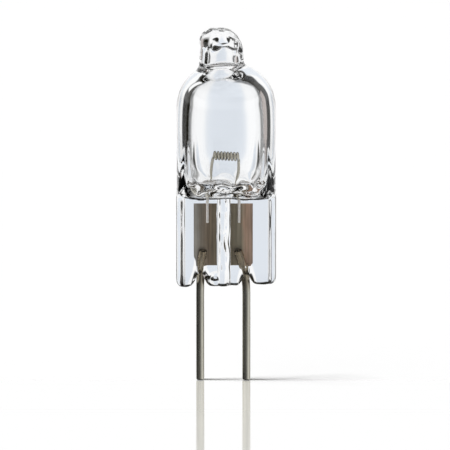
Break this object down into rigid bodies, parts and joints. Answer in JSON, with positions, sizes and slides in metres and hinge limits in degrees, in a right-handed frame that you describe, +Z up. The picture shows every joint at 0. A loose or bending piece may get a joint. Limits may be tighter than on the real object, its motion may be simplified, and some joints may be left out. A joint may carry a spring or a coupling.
{
  "type": "halogen capsule bulb",
  "caption": "Clear quartz halogen capsule bulb with a sealed tip, a filament coil, a flat pinch with sealed-in foils and straight contact pins that push into a low-voltage socket.",
  "frame": {"origin": "midway between the contact pins on the seat, the plane under the lowest glass of the pinch", "axes": "+Z up the bulb to the sealed tip, +X from the left pin to the right pin, -Y to the front of the pinch where the pins are welded on the foils"},
  "size_m": [0.0087, 0.0086, 0.031],
  "materials": {
    "quartz": "clear gloss",
    "tungsten": "satin",
    "foil": "satin",
    "pin_metal": "satin"
  },
  "bodies": {
    "root": {"glass_envelope": "quartz", "filament_coil": "tungsten", "inner_lead_left": "tungsten", "inner_lead_right": "tungsten", "foil_left": "foil", "foil_right": "foil", "pin_left": "pin_metal", "pin_right": "pin_metal"}
  },
  "joints": []
}
